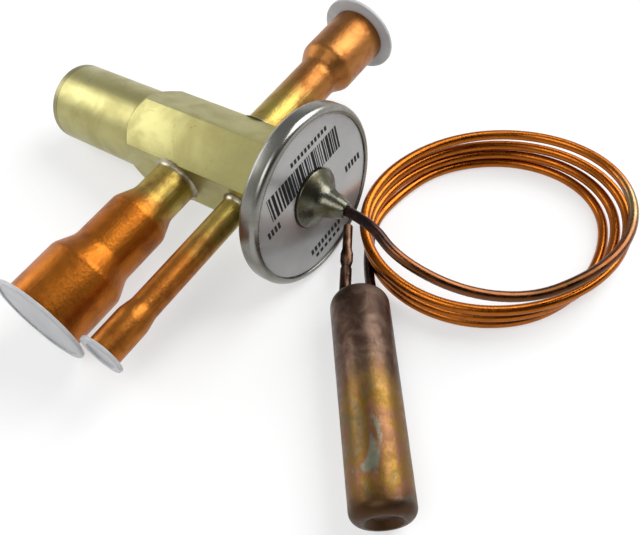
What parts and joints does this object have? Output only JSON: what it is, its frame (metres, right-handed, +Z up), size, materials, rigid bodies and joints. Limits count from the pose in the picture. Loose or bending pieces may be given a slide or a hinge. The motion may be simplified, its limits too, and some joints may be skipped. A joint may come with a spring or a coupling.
{
  "type": "thermostatic expansion valve",
  "caption": "Refrigerant expansion valve with a brass body, copper solder sockets, a round power head and a remote sensing bulb on a coiled capillary.",
  "frame": {"origin": "middle of the valve's own footprint (without the capillary and bulb), on the table it lies on", "axes": "+Z up from the table, +X towards the inlet socket, +Y towards the barrel end with the seal plug, -Y towards the power head"},
  "size_m": [0.153, 0.1872, 0.0556],
  "materials": {
    "body_brass": "satin machined brass",
    "trim_brass": "satin machined brass",
    "tube_copper": "brushed copper, bright and slightly yellow",
    "braze_silver": "satin silver braze",
    "plug_plastic": "milky see-through polyethylene",
    "gasket_copper": "soft annealed copper",
    "packing_rubber": "black elastomer",
    "mechanism_steel": "ground stainless steel",
    "head_steel": "pressed stainless steel, bright bead",
    "label_film": "light grey film, satin",
    "boss_steel": "satin steel, braze coloured neck",
    "capillary_copper": "drawn copper, heat tinted at its ends",
    "bulb_copper": "copper with a dark heat tint"
  },
  "bodies": {
    "valve": {"valve_body": "body_brass", "spindle_gland": "trim_brass", "orifice_seat": "trim_brass", "rod_guide": "trim_brass", "outlet_tube": "tube_copper", "inlet_tube": "tube_copper", "equalizer_tube": "tube_copper", "outlet_braze_ring": "braze_silver", "inlet_braze_ring": "braze_silver", "equalizer_braze_ring": "braze_silver", "spindle_packing": "packing_rubber", "rod_packing": "packing_rubber", "superheat_spring": "mechanism_steel", "diaphragm": "mechanism_steel", "head_lower_shell": "head_steel", "head_upper_shell": "head_steel", "head_label": "label_film", "capillary_boss": "boss_steel", "capillary_lead": "capillary_copper", "capillary_coil": "capillary_copper", "capillary_tail": "capillary_copper", "bulb": "bulb_copper", "bulb_charge_tube": "bulb_copper"},
    "outlet_plug": {"outlet_plug": "plug_plastic"},
    "inlet_plug": {"inlet_plug": "plug_plastic"},
    "equalizer_plug": {"equalizer_plug": "plug_plastic"},
    "seal_plug": {"seal_plug": "trim_brass", "plug_gasket": "gasket_copper"},
    "spindle": {"adjusting_spindle": "mechanism_steel"},
    "nut": {"adjusting_nut": "trim_brass"},
    "pin_group": {"valve_pin": "mechanism_steel", "pin_carrier": "trim_brass", "push_rod": "mechanism_steel", "buffer_plate": "mechanism_steel"}
  },
  "joints": [
    {"name": "outlet_plug_pull", "type": "slide", "parent": "valve", "child": "outlet_plug", "axis": [-0.9969, 0, -0.079], "range_m": [0, 0.03]},
    {"name": "inlet_plug_pull", "type": "slide", "parent": "valve", "child": "inlet_plug", "axis": [0.9969, 0, 0.079], "range_m": [0, 0.03]},
    {"name": "equalizer_plug_pull", "type": "slide", "parent": "valve", "child": "equalizer_plug", "axis": [-0.9969, 0, -0.079], "range_m": [0, 0.03]},
    {"name": "seal_plug_pull", "type": "slide", "parent": "valve", "child": "seal_plug", "axis": [0.0117, 0.9891, -0.1471], "range_m": [0, 0.012]},
    {"name": "nut_travel", "type": "slide", "parent": "valve", "child": "nut", "axis": [-0.0117, -0.9891, 0.1471], "range_m": [-0.004, 0.004], "deforming": ["superheat_spring"]},
    {"name": "spindle_turn", "type": "hinge", "parent": "valve", "child": "spindle", "pos_m": [0.00192, -0.00284, 0.02166], "axis": [-0.0117, -0.9891, 0.1471], "range_deg": [-1500, 1500]},
    {"name": "pin_opening", "type": "slide", "parent": "valve", "child": "pin_group", "axis": [0.0117, 0.9891, -0.1471], "range_m": [0, 0.0012], "stiffness_N_per_m": 1500, "springref_m": -0.004, "deforming": ["superheat_spring", "diaphragm"]}
  ],
  "couplings": [
    {"joint": "spindle_turn", "follows": "nut_travel", "rad_per_m": 6283.2}
  ]
}
